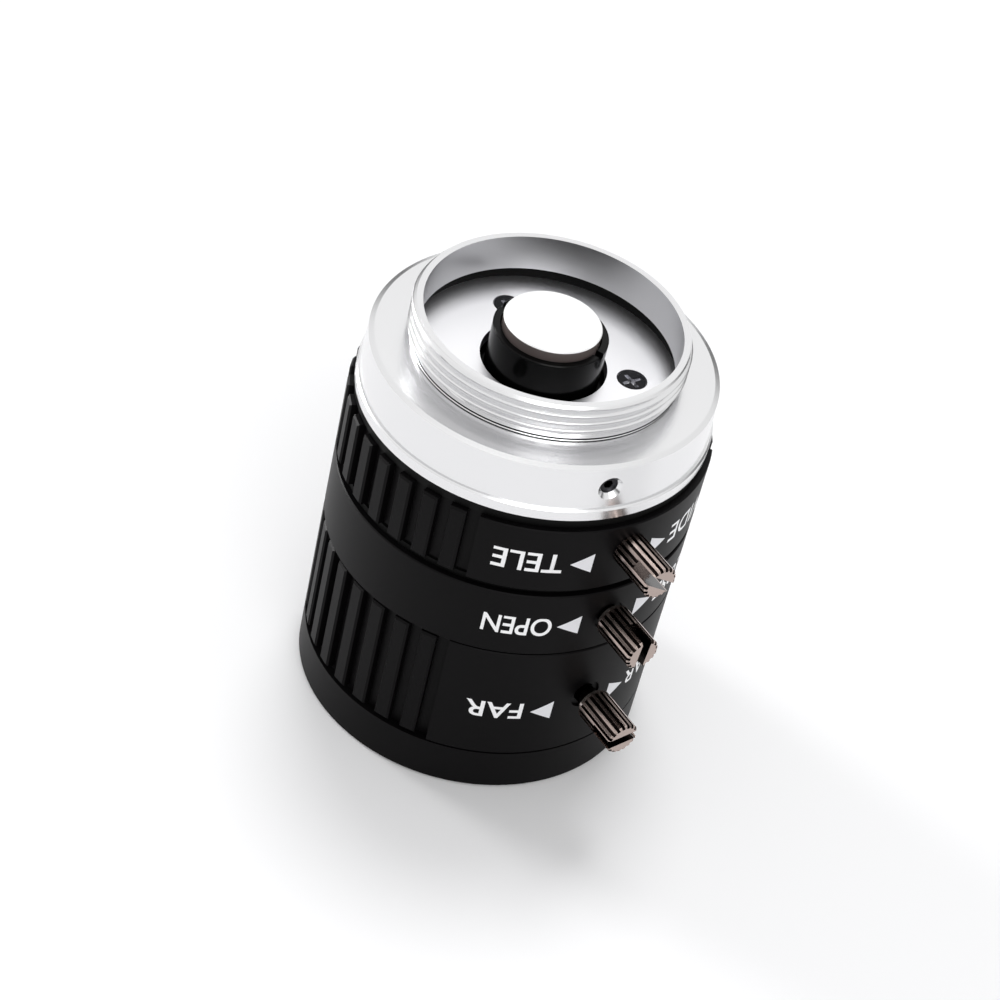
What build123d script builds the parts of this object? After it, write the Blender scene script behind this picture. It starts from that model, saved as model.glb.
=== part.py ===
from build123d import *
from math import atan2, cos, degrees, hypot, radians, sin, sqrt
import os

# A varifocal lens for a security camera, standing on its front rim with its mount thread up.
# Millimetres and degrees. The origin is on the optical axis in the plane of the mount's flange
# seat, +Z points to the camera, and the lock screws point along -Y.
# Heights are measured from the front rim. Azimuths are about +Z, from +X.

# Clearances
running = 0.05
end_play = 0.05
seat_gap = 0.02

# How far a cut runs past the face that it opens
overrun = 1.0

# Mount ring, whose thread is the standard size that the radii follow
thread_radius = 12.7
thread_length = 3.84
thread_chamfer = 0.35
thread_wall = 0.95
undercut_depth = 0.55
undercut_top = 0.24
seat_width = 3.27
flange_draft = 0.17
flange_length = 5.7
flange_chamfer_width = 0.47
flange_chamfer_height = 0.22
lip_step = 0.28
lip_length = 1.25
lip_chamfer = 0.15

# Lengths along the axis, from the front rim
focus_ring_length = 17.75
ring_gap = 0.15
iris_ring_length = 7.2
spacer_gap = 0.7
zoom_ring_length = 7.1
collar_thickness = 0.75

# Grips on the focus and zoom rings
rib_count = 27
rib_height = 0.8
rib_width = 1.55
rib_bevel = 0.18
rib_root_sink = 0.3
rib_inset = 0.05
focus_rib_start = 0.4
focus_rib_inset = 0.15
panel_half_angle = 48.9
front_band_length = 4.65
band_line = 0.1
rim_chamfer = 0.3
ring_edge = 0.1

# Steps from the rings' outside in to the barrel and what it carries
body_step = 0.48
collar_inset = 0.6
ring_wall = 2.3
band_wall = 1.6
focus_seat_step = 0.4
front_neck_step = 0.5
front_neck_wall = 1.0
spigot_step = 1.1
spigot_wall = 0.65
rear_barrel_wall = 2.4
focus_step_past_band = 0.4
iris_seat_rise = 4.6
rear_wall_thickness = 1.5
rear_window_gap = 0.5
plate_thickness = 1.2
plate_recess = 1.1
plate_hole_gap = 0.58

# Screws of the rear plate
plate_screw_inset = 2.28
plate_screw_azimuths = (-39.5, 80.5, 200.5)
plate_screw_radius = 0.68
plate_screw_depth = 1.3
counterbore_radius = 1.415
counterbore_depth = 0.75
plate_head_radius = 1.3
plate_head_height = 0.6
cross_width = 0.42
cross_length = 1.9
cross_depth = 0.35

# Set screw in the side of the mount ring
set_screw_azimuth = -101.2
set_screw_drop = 2.3
set_screw_radius = 0.8
set_screw_length = 2.0
set_screw_mouth_radius = 1.1
set_screw_mouth_taper = 45
hex_socket_radius = 0.45
hex_socket_depth = 0.9

# Lock screws
mark_azimuth = -90
stem_radius = 1.0
stem_length = 2.2
knob_radius = 1.68
knob_length = 4.85
knurl_count = 18
knurl_depth = 0.3
knurl_width = 0.3
knob_chamfer = 0.18
screw_slot_width = 0.95
screw_slot_depth = 2.4
washer_radius = 1.45
washer_thickness = 0.3
washer_recess = 0.3
washer_recess_gap = 0.1
focus_screw_rise = 6.8
iris_screw_rise = 3.8
zoom_screw_rise = 4.2
focus_screw_out = 1.35
iris_screw_out = 0.55
zoom_screw_out = 0.02
focus_slot_turn = 6
iris_slot_turn = 85
zoom_slot_turn = -32

# Front group
front_cell_sink = 1.2
front_cell_wall = 1.3
front_seat_depth = 6.4
front_lip_width = 1.0
front_lip_thickness = 0.8
inner_cell_wall = 3.1
focus_travel = 0.6
front_head_room = 0.2
focus_stop_thickness = 1.3
key_pin_radius = 0.6
key_pin_depth = 8.8
key_slot_depth = 0.8

# Front lenses: rim thickness, then how far the middle of each face stands out of its rim
front_lens_1_rim = 3.3
front_lens_1_bulges = (1.9, -3.2)
front_lens_2_rim = 2.2
front_lens_2_bulges = (-0.5, -0.9)
front_lens_3_rim = 0.83
front_lens_3_bulges = (0.8, 0.4)
front_spacer_length = 0.6
front_ring_width = 1.05
front_retaining_length = 1.4
front_inner_length = 0.7

# Rear group, at rest near the wide end
rear_bore_radius = 5.8
rear_tube_wall = 0.8
rear_tube_gap = 0.7
rear_tube_overhang = 0.5
rear_sleeve_wall = 0.8
rear_sleeve_length = 7.7
rear_sleeve_gap = 0.4
rear_web_thickness = 1.5
rear_lip_thickness = 0.4
nose_step = 1.35
nose_length = 4.75
nose_wall = 0.3
nose_seat_depth = 1.75
nose_seat_width = 0.65
rear_glass_step = 0.48
rear_glass_rise = 1.54
rear_glass_foot = 0.9
rear_rim_height = 0.6
spanner_notch_azimuth = -64.3
spanner_notch_width = 0.8
spanner_notch_depth = 0.45

# Rear lenses inside the cell, in the same way
rear_lens_1_rim = 1.6
rear_lens_1_bulges = (0.9, 0.5)
rear_lens_2_rim = 1.8
rear_lens_2_bulges = (-0.6, -0.6)
rear_lens_3_rim = 1.84
rear_lens_3_bulges = (0.6, 0.88)
rear_spacer_1_length = 1.06
rear_spacer_2_length = 0.6
rear_ring_width = 0.75
rear_inner_length = 0.9

# Drive of the rear group
drive_azimuth = 90
cam_pin_radius = 0.7
cam_pin_drop = 1.9
cam_travel_per_turn = 20.95
zoom_turn_to_tele = -55
zoom_turn_to_wide = 5
cam_groove_depth = 0.8
cam_step = 2.5

# Iris
blade_count = 6
blade_thickness = 0.08
blade_pitch = 0.13
blade_width = 2.1
blade_inset = 0.6
blade_arc = 125
blade_heel_radius = 0.9
blade_heel_inset = 1.0
blade_heel_across = 1.2
blade_lug_radius = 0.6
blade_pattern_azimuth = 10.3
pivot_inset = 2.1
pivot_stud_radius = 0.35
drive_stud_radius = 0.3
drive_stud_along = 0.5
drive_stud_across = -1.9
stud_clearance = 0.1
blade_half_turn = 19
iris_half_turn = 25
iris_aperture_inset = 4.1
iris_plate_thickness = 0.6
drive_ring_thickness = 1.0
drive_ring_width = 3.05
iris_pin_radius = 0.35
iris_pin_hold = 1.45
iris_notch_depth = 0.8
cover_thickness = 0.7
cover_width = 3.7

# Heights worked out from the sizes above
focus_top = focus_ring_length
iris_bottom = focus_top + ring_gap
iris_top = iris_bottom + iris_ring_length
zoom_bottom = iris_top + spacer_gap
zoom_top = zoom_bottom + zoom_ring_length
collar_bottom = zoom_top + end_play
mount_bottom = collar_bottom + collar_thickness
seat_height = mount_bottom + flange_length
thread_top = seat_height + thread_length
plate_top = seat_height - plate_recess
plate_bottom = plate_top - plate_thickness
rear_wall_bottom = plate_bottom - rear_wall_thickness
focus_step = front_band_length + focus_step_past_band
focus_rib_front = front_band_length + focus_rib_start
iris_seat_height = iris_bottom + iris_seat_rise
focus_screw_height = front_band_length + focus_screw_rise
iris_screw_height = iris_bottom + iris_screw_rise
zoom_screw_height = zoom_bottom + zoom_screw_rise
stop_ring_bottom = focus_step - end_play - focus_stop_thickness
barrel_front = stop_ring_bottom
front_cell_front = front_cell_sink
front_head_top = stop_ring_bottom - focus_travel - front_head_room
front_seat_height = front_cell_front + front_seat_depth
key_pin_height = front_cell_front + key_pin_depth
rear_tube_top = plate_bottom - rear_tube_gap
rear_lip_height = rear_tube_top - rear_lip_thickness
rear_sleeve_top = rear_wall_bottom - rear_sleeve_gap
rear_web_bottom = rear_sleeve_top - rear_web_thickness
rear_sleeve_front = rear_sleeve_top - rear_sleeve_length
rear_tube_front = rear_sleeve_front - rear_tube_overhang
nose_top = rear_tube_top + nose_length
nose_seat_height = nose_top - nose_seat_depth
rear_glass_top = nose_top + rear_glass_rise
cam_pin_height = zoom_top - cam_pin_drop
cam_drop = -zoom_turn_to_tele / 360 * cam_travel_per_turn
cam_rise = zoom_turn_to_wide / 360 * cam_travel_per_turn

# Radii worked out from the thread
mount_bore_radius = thread_radius - thread_wall
undercut_radius = mount_bore_radius + undercut_depth
flange_radius = thread_radius + seat_width
flange_foot_radius = flange_radius + flange_draft
lip_radius = flange_foot_radius + lip_step
body_radius = lip_radius + body_step
groove_radius = body_radius - rib_height
collar_radius = body_radius - collar_inset
barrel_radius = body_radius - ring_wall
ring_bore = barrel_radius + running
focus_seat_radius = barrel_radius - focus_seat_step
focus_bore = focus_seat_radius + running
front_neck_radius = focus_seat_radius - front_neck_step
helicoid_radius = body_radius - band_wall
front_stem_radius = front_neck_radius - front_neck_wall
front_slide_bore = front_stem_radius + running
front_bore_radius = front_stem_radius - front_cell_wall
inner_bore_radius = front_stem_radius - inner_cell_wall
front_lip_radius = inner_bore_radius - front_lip_width
spigot_radius = barrel_radius - spigot_step
plate_radius = spigot_radius - spigot_wall
rear_sleeve_radius = barrel_radius - rear_barrel_wall
rear_slide_bore = rear_sleeve_radius + running
rear_tube_radius = rear_bore_radius + rear_tube_wall
rear_window_radius = rear_tube_radius + rear_window_gap
nose_radius = rear_tube_radius - nose_step
nose_bore_radius = nose_radius - nose_wall
nose_passage_radius = nose_bore_radius - nose_seat_width
rear_glass_radius = nose_bore_radius - rear_glass_step
plate_hole_radius = nose_radius + plate_hole_gap
plate_screw_circle = plate_hole_radius + plate_screw_inset

# The iris, forwards from its base plate and inwards from the barrel's bore
iris_plate_radius = front_slide_bore - running
drive_ring_radius = iris_plate_radius - running
drive_ring_bore = drive_ring_radius - drive_ring_width
cover_bore = iris_plate_radius - cover_width
pivot_radius = iris_plate_radius - pivot_inset
iris_aperture_radius = pivot_radius - iris_aperture_inset
blade_outer_radius = pivot_radius - blade_inset
blade_inner_radius = blade_outer_radius - blade_width
iris_pin_foot = drive_ring_radius - iris_pin_hold
plate_front = iris_seat_height - iris_plate_thickness
blade_bottom = plate_front - blade_count * blade_pitch
drive_ring_top = blade_bottom - running
drive_ring_bottom = drive_ring_top - drive_ring_thickness
iris_pin_height = (drive_ring_bottom + drive_ring_top) / 2
drive_reach = hypot(drive_stud_along, drive_stud_across)
drive_angle = degrees(atan2(drive_stud_across, drive_stud_along)) - blade_half_turn
drive_open = (drive_reach * cos(radians(drive_angle)), drive_reach * sin(radians(drive_angle)))


def z_of(height):
    """Z of a height above the front rim."""
    return height - seat_height


def spin(outline, mode=Mode.ADD):
    """Turns a closed outline of (radius, height) corners about the optical axis."""
    with BuildSketch(Plane.XZ) as section:
        with BuildLine():
            Polyline(*[(radius, z_of(height)) for radius, height in outline], close=True)
        make_face()
    revolve(section.sketch, axis=Axis.Z, mode=mode)


def spin_sector(outline, start, arc, mode=Mode.ADD):
    """Turns an outline about the optical axis from azimuth start through arc degrees."""
    across = Vector(1, 0, 0).rotate(Axis.Z, start)
    with BuildSketch(Plane((0, 0, 0), x_dir=across, z_dir=across.rotate(Axis.Z, -90))) as section:
        with BuildLine():
            Polyline(*[(radius, z_of(height)) for radius, height in outline], close=True)
        make_face()
    revolve(section.sketch, axis=Axis.Z, revolution_arc=arc, mode=mode)


def ring_outline(inner, outer, bottom, top, edge=0.0):
    """Corners of a plain ring's section, with its outer edges bevelled by edge."""
    if edge == 0:
        return [(inner, bottom), (outer, bottom), (outer, top), (inner, top)]
    return [
        (inner, bottom),
        (outer - edge, bottom),
        (outer, bottom + edge),
        (outer, top - edge),
        (outer - edge, top),
        (inner, top),
    ]


def radial_plane(azimuth, height, distance=0.0):
    """A plane across a radius, facing outwards, with its Y along the optical axis."""
    outward = Vector(1, 0, 0).rotate(Axis.Z, azimuth)
    origin = outward * distance + Vector(0, 0, z_of(height))
    return Plane(origin, x_dir=outward.rotate(Axis.Z, 90), z_dir=outward)


def radial_bar(radius, azimuth, height, inner, outer, mode=Mode.ADD):
    """A round bar or hole along a radius, from distance inner to outer."""
    with BuildSketch(radial_plane(azimuth, height, inner)) as end:
        Circle(radius)
    extrude(end.sketch, amount=outer - inner, mode=mode)


def radial_slot(width, azimuth, bottom, top, inner, outer):
    """Cuts a round-ended slot that runs along the optical axis, from height bottom to top."""
    with BuildSketch(radial_plane(azimuth, (bottom + top) / 2, inner)) as mouth:
        SlotOverall(top - bottom, width, rotation=90)
    extrude(mouth.sketch, amount=outer - inner, mode=Mode.SUBTRACT)


def rib_bar(bottom, top):
    """One grip rib at azimuth 0, bevelled along its outer edges and at both ends."""
    half = rib_width / 2
    shoulder = body_radius - rib_bevel
    with BuildPart() as bar:
        with BuildSketch(Plane.XY.offset(z_of(bottom))):
            with BuildLine():
                Polyline(
                    (groove_radius - rib_root_sink, -half),
                    (shoulder, -half),
                    (body_radius, -half + rib_bevel),
                    (body_radius, half - rib_bevel),
                    (shoulder, half),
                    (groove_radius - rib_root_sink, half),
                    close=True,
                )
            make_face()
        extrude(amount=top - bottom)
        outer_face = bar.faces().sort_by(Axis.X)[-1]
        chamfer(outer_face.edges().filter_by(Axis.Y), rib_bevel)
    return bar.part


def grip(bottom, top, rib_bottom, rib_top):
    """Adds the smooth panel round the lock screw, and the ribs on the rest of the ring."""
    spin_sector(
        ring_outline(groove_radius - rib_root_sink, body_radius, bottom, top, ring_edge),
        mark_azimuth - panel_half_angle,
        2 * panel_half_angle,
    )
    rib_angle = degrees(rib_width / body_radius)
    free_angle = 360 - 2 * panel_half_angle - rib_count * rib_angle
    rib_step = rib_angle + free_angle / (rib_count + 1)
    rib = rib_bar(rib_bottom, rib_top)
    opposite = mark_azimuth + 180
    with PolarLocations(
        0,
        rib_count,
        start_angle=opposite - rib_step * (rib_count - 1) / 2,
        angular_range=rib_step * (rib_count - 1),
        endpoint=True,
    ):
        add(rib)


def face_out(radius, bulge, place):
    """How far a lens face of this radius stands out of its rim, at a radius of place."""
    ball = (radius * radius + bulge * bulge) / (2 * abs(bulge))
    drop = ball - sqrt(ball * ball - place * place)
    return bulge - drop * (1 if bulge > 0 else -1)


def screw_seat(height):
    """The hole for a lock screw's stem, with a flat recess round it for the washer."""
    radial_bar(
        stem_radius + running,
        mark_azimuth,
        height,
        ring_bore - overrun,
        body_radius + overrun,
        Mode.SUBTRACT,
    )
    radial_bar(
        washer_radius + washer_recess_gap,
        mark_azimuth,
        height,
        body_radius - washer_recess,
        body_radius + overrun,
        Mode.SUBTRACT,
    )


def lens_element(radius, front_rim, rear_rim, bulges):
    """A round lens between two rim heights. The bulges are of its front and its rear face."""
    front_bulge, rear_bulge = bulges
    places = (0, radius / 2, radius)
    front = [(r, z_of(front_rim - face_out(radius, front_bulge, r))) for r in places]
    rear = [(r, z_of(rear_rim + face_out(radius, rear_bulge, r))) for r in places]
    with BuildPart() as element:
        with BuildSketch(Plane.XZ):
            with BuildLine():
                ThreePointArc(*front)
                Line(front[2], rear[2])
                ThreePointArc(*rear)
                Line(rear[0], front[0])
            make_face()
        revolve(axis=Axis.Z)
    return element.part


def plain_ring(inner, outer, bottom, top):
    """A plain ring, such as a spacer or a retaining ring."""
    with BuildPart() as ring:
        spin(ring_outline(inner, outer, bottom, top))
    return ring.part


def save(piece, name):
    """Names a finished piece and writes it."""
    piece.label = name
    export_step(piece, "parts/" + name + ".step")


def make_main_barrel():
    """The fixed tube that carries the rings, the two lens groups, the iris and the mount."""
    with BuildPart() as main_barrel:
        spin([
            (front_slide_bore, barrel_front),
            (front_neck_radius, barrel_front),
            (front_neck_radius, focus_step - end_play),
            (focus_seat_radius, focus_step - end_play),
            (focus_seat_radius, focus_top + end_play),
            (barrel_radius, focus_top + end_play),
            (barrel_radius, collar_bottom),
            (collar_radius, collar_bottom),
            (collar_radius, mount_bottom),
            (spigot_radius, mount_bottom),
            (spigot_radius, plate_top),
            (plate_radius + seat_gap, plate_top),
            (plate_radius + seat_gap, plate_bottom),
            (rear_window_radius, plate_bottom),
            (rear_window_radius, rear_wall_bottom),
            (rear_slide_bore, rear_wall_bottom),
            (rear_slide_bore, iris_seat_height),
            (front_slide_bore, iris_seat_height),
        ])
        # Slots for the zoom cam pin and the iris pin, and the key pin's hole
        radial_slot(
            2 * (cam_pin_radius + running),
            drive_azimuth,
            cam_pin_height - cam_drop - cam_pin_radius - 2 * running,
            cam_pin_height + cam_rise + cam_pin_radius + 2 * running,
            rear_sleeve_radius - overrun,
            barrel_radius + overrun,
        )
        half_arc = iris_half_turn + degrees((iris_pin_radius + stud_clearance) / front_slide_bore)
        spin_sector(
            ring_outline(
                front_slide_bore - overrun,
                barrel_radius + overrun,
                iris_pin_height - iris_pin_radius - running,
                iris_pin_height + iris_pin_radius + running,
            ),
            drive_azimuth - half_arc,
            2 * half_arc,
            Mode.SUBTRACT,
        )
        radial_bar(
            key_pin_radius + seat_gap,
            drive_azimuth,
            key_pin_height,
            front_stem_radius - overrun,
            focus_seat_radius + overrun,
            Mode.SUBTRACT,
        )
        # Tapped holes for the rear plate's screws
        for azimuth in plate_screw_azimuths:
            with Locations(Plane.XY.offset(z_of(plate_bottom))):
                with Locations(place_at(plate_screw_circle, azimuth)):
                    Hole(plate_screw_radius + seat_gap, depth=plate_screw_depth + end_play)
    save(main_barrel.part, "main_barrel")


def place_at(radius, azimuth):
    """X and Y of a point at a radius and an azimuth."""
    return (radius * cos(radians(azimuth)), radius * sin(radians(azimuth)))


def make_mount_ring():
    """The bright ring with the camera's thread, the flange seat and the set screw's hole."""
    lip_top = mount_bottom + lip_length
    set_screw_height = seat_height - set_screw_drop
    with BuildPart() as mount_ring:
        spin([
            (spigot_radius + seat_gap, mount_bottom),
            (lip_radius - lip_chamfer, mount_bottom),
            (lip_radius, mount_bottom + lip_chamfer),
            (lip_radius, lip_top - lip_chamfer),
            (lip_radius - lip_chamfer, lip_top),
            (flange_foot_radius, lip_top),
            (flange_radius, seat_height - flange_chamfer_height),
            (flange_radius - flange_chamfer_width, seat_height),
            (thread_radius, seat_height),
            (thread_radius, thread_top - thread_chamfer),
            (thread_radius - thread_chamfer, thread_top),
            (mount_bore_radius, thread_top),
            (mount_bore_radius, seat_height + undercut_top),
            (undercut_radius, seat_height + undercut_top),
            (undercut_radius, plate_top + end_play),
            (spigot_radius + seat_gap, plate_top + end_play),
        ])
        radial_bar(
            set_screw_radius + seat_gap,
            set_screw_azimuth,
            set_screw_height,
            spigot_radius - overrun,
            lip_radius + overrun,
            Mode.SUBTRACT,
        )
        mouth_depth = set_screw_mouth_radius - set_screw_radius
        mouth_foot = flange_radius - mouth_depth
        with BuildSketch(radial_plane(set_screw_azimuth, set_screw_height, mouth_foot)) as foot:
            Circle(set_screw_radius)
        extrude(foot.sketch, amount=overrun, taper=-set_screw_mouth_taper, mode=Mode.SUBTRACT)
    save(mount_ring.part, "mount_ring")
    with BuildPart() as mount_set_screw:
        outer_end = spigot_radius + set_screw_length
        radial_bar(set_screw_radius, set_screw_azimuth, set_screw_height, spigot_radius, outer_end)
        with BuildSketch(radial_plane(set_screw_azimuth, set_screw_height, outer_end)) as socket:
            RegularPolygon(hex_socket_radius, 6)
        extrude(socket.sketch, amount=-hex_socket_depth, mode=Mode.SUBTRACT)
    save(mount_set_screw.part, "mount_set_screw")


def make_rear_plate():
    """The thin disc that closes the barrel round the rear cell, and its three screws."""
    with BuildPart() as rear_plate:
        spin(ring_outline(plate_hole_radius, plate_radius, plate_bottom, plate_top))
        with Locations(Plane.XY.offset(z_of(plate_top))):
            for azimuth in plate_screw_azimuths:
                with Locations(place_at(plate_screw_circle, azimuth)):
                    CounterBoreHole(
                        plate_screw_radius + running,
                        counterbore_radius,
                        counterbore_depth,
                    )
    save(rear_plate.part, "rear_plate")
    head_bottom = plate_top - counterbore_depth
    head_top = head_bottom + plate_head_height
    with BuildPart() as rear_plate_screws:
        for azimuth in plate_screw_azimuths:
            spot = place_at(plate_screw_circle, azimuth)
            with BuildSketch(Plane.XY.offset(z_of(head_bottom))) as head:
                with Locations(spot):
                    Circle(plate_head_radius)
            extrude(head.sketch, amount=plate_head_height)
            with BuildSketch(Plane.XY.offset(z_of(head_bottom))) as shank:
                with Locations(spot):
                    Circle(plate_screw_radius)
            extrude(shank.sketch, amount=plate_bottom - plate_screw_depth - head_bottom)
            with BuildSketch(Plane.XY.offset(z_of(head_top))) as cross:
                with Locations(spot):
                    Rectangle(cross_length, cross_width)
                    Rectangle(cross_width, cross_length)
            extrude(cross.sketch, amount=-cross_depth, mode=Mode.SUBTRACT)
    save(rear_plate_screws.part, "rear_plate_screws")


def make_focus_ring():
    """The front ring: a band, a panel and ribs outside, and the helicoid's thread inside."""
    with BuildPart() as focus_ring:
        spin([
            (helicoid_radius, 0),
            (body_radius - rim_chamfer, 0),
            (body_radius, rim_chamfer),
            (body_radius, front_band_length),
            (groove_radius, front_band_length),
            (groove_radius, focus_top),
            (focus_bore, focus_top),
            (focus_bore, focus_step),
            (helicoid_radius, focus_step),
        ])
        grip(
            front_band_length + band_line,
            focus_top,
            focus_rib_front,
            focus_top - focus_rib_inset,
        )
        screw_seat(focus_screw_height)
    save(focus_ring.part, "focus_ring")
    stop_ring = plain_ring(
        front_neck_radius + seat_gap,
        helicoid_radius - 2 * running,
        stop_ring_bottom,
        focus_step - end_play,
    )
    save(stop_ring, "focus_retaining_ring")


def make_iris_ring():
    """The smooth middle ring, with the notch that takes the iris pin."""
    with BuildPart() as iris_ring:
        spin(ring_outline(ring_bore, body_radius, iris_bottom, iris_top, ring_edge))
        notch_bottom = iris_pin_height - iris_pin_radius - running
        notch_top = iris_top + overrun
        notch_place = radial_plane(drive_azimuth, (notch_bottom + notch_top) / 2, ring_bore - overrun)
        with BuildSketch(notch_place) as notch:
            Rectangle(2 * (iris_pin_radius + running), notch_top - notch_bottom)
        extrude(notch.sketch, amount=overrun + iris_notch_depth, mode=Mode.SUBTRACT)
        screw_seat(iris_screw_height)
    save(iris_ring.part, "iris_ring")


def make_zoom_ring():
    """The ring by the mount, with the cam groove that moves the rear group."""
    with BuildPart() as zoom_ring:
        spin(ring_outline(ring_bore, groove_radius, zoom_bottom, zoom_top))
        grip(zoom_bottom, zoom_top, zoom_bottom + rib_inset, zoom_top - rib_inset)
        screw_seat(zoom_screw_height)
        # The groove as its cutter leaves it: one plunge every few degrees along the cam
        plunges = round((zoom_turn_to_wide - zoom_turn_to_tele) / cam_step)
        for plunge in range(plunges + 1):
            turn = zoom_turn_to_tele + plunge * cam_step
            radial_bar(
                cam_pin_radius + stud_clearance,
                drive_azimuth - turn,
                cam_pin_height + turn / 360 * cam_travel_per_turn,
                ring_bore - overrun,
                ring_bore + cam_groove_depth,
                Mode.SUBTRACT,
            )
    save(zoom_ring.part, "zoom_ring")
    spacer = plain_ring(
        barrel_radius + seat_gap,
        collar_radius,
        iris_top + end_play,
        zoom_bottom - end_play,
    )
    save(spacer, "ring_spacer")


def make_lock_screw(name, height, out, slot_turn):
    """A knurled and slotted lock screw with its washer, unscrewed by out from its seat."""
    washer_bottom = body_radius - washer_recess + out
    knob_bottom = washer_bottom + washer_thickness
    knob_top = knob_bottom + knob_length
    with BuildPart() as screw:
        radial_bar(stem_radius, mark_azimuth, height, knob_bottom - stem_length, knob_bottom)
        radial_bar(knob_radius, mark_azimuth, height, knob_bottom, knob_top)
        end_face = screw.faces().sort_by(Axis.Y)[0]
        chamfer(end_face.edges(), knob_chamfer)
        with BuildSketch(radial_plane(mark_azimuth, height, knob_bottom)) as knurls:
            with PolarLocations(knob_radius, knurl_count):
                Rectangle(2 * knurl_depth, knurl_width)
        extrude(knurls.sketch, amount=knob_length, mode=Mode.SUBTRACT)
        with BuildSketch(radial_plane(mark_azimuth, height, knob_top)) as slot:
            Rectangle(2 * (knob_radius + overrun), screw_slot_width, rotation=slot_turn)
        extrude(slot.sketch, amount=-screw_slot_depth, mode=Mode.SUBTRACT)
    save(screw.part, name + "_lock_screw")
    with BuildPart() as washer:
        radial_bar(washer_radius, mark_azimuth, height, washer_bottom, knob_bottom)
        radial_bar(
            stem_radius + running,
            mark_azimuth,
            height,
            washer_bottom - overrun,
            knob_bottom + overrun,
            Mode.SUBTRACT,
        )
    save(washer.part, name + "_lock_washer")


def make_front_group():
    """The front cell with its three lenses, which the helicoid moves along the axis."""
    lip_top = front_seat_height + front_lip_thickness
    glass = inner_bore_radius - running
    ring_bore_inside = glass - front_ring_width
    spacer_bottom = lip_top + front_lens_2_rim
    spacer_top = spacer_bottom + front_spacer_length
    third_front = spacer_top + face_out(glass, front_lens_3_bulges[0], front_lip_radius) + seat_gap
    third_rear = third_front + front_lens_3_rim
    inner_ring_bottom = third_rear + face_out(glass, front_lens_3_bulges[1], ring_bore_inside) + seat_gap
    cell_top = inner_ring_bottom + front_inner_length
    with BuildPart() as front_cell:
        spin([
            (front_bore_radius, front_cell_front),
            (helicoid_radius - running - ring_edge, front_cell_front),
            (helicoid_radius - running, front_cell_front + ring_edge),
            (helicoid_radius - running, front_head_top),
            (front_stem_radius, front_head_top),
            (front_stem_radius, cell_top),
            (inner_bore_radius, cell_top),
            (inner_bore_radius, lip_top),
            (front_lip_radius, lip_top),
            (front_lip_radius, front_seat_height),
            (front_bore_radius, front_seat_height),
        ])
        radial_slot(
            2 * (key_pin_radius + running),
            drive_azimuth,
            key_pin_height - focus_travel - key_pin_radius - 2 * running,
            key_pin_height + focus_travel + key_pin_radius + 2 * running,
            front_stem_radius - key_slot_depth,
            front_stem_radius + overrun,
        )
    save(front_cell.part, "front_cell")
    with BuildPart() as focus_key_pin:
        radial_bar(
            key_pin_radius,
            drive_azimuth,
            key_pin_height,
            front_stem_radius - key_slot_depth + 2 * running,
            focus_seat_radius - running,
        )
    save(focus_key_pin.part, "focus_key_pin")

    wide_glass = front_bore_radius - running
    wide_ring_bore = wide_glass - front_ring_width
    front_rim = front_seat_height - front_lens_1_rim
    ring_top = front_rim - face_out(wide_glass, front_lens_1_bulges[0], wide_ring_bore) - seat_gap
    ring_bottom = ring_top - front_retaining_length
    front_lens_1 = lens_element(wide_glass, front_rim, front_seat_height, front_lens_1_bulges)
    save(front_lens_1, "front_lens_1")
    retaining = plain_ring(wide_ring_bore, front_bore_radius - seat_gap, ring_bottom, ring_top)
    save(retaining, "front_retaining_ring")

    save(lens_element(glass, lip_top, spacer_bottom, front_lens_2_bulges), "front_lens_2")
    save(plain_ring(front_lip_radius, glass, spacer_bottom, spacer_top), "front_spacer")
    save(lens_element(glass, third_front, third_rear, front_lens_3_bulges), "front_lens_3")
    inner_ring = plain_ring(ring_bore_inside, inner_bore_radius - seat_gap, inner_ring_bottom, cell_top)
    save(inner_ring, "front_inner_ring")


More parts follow.
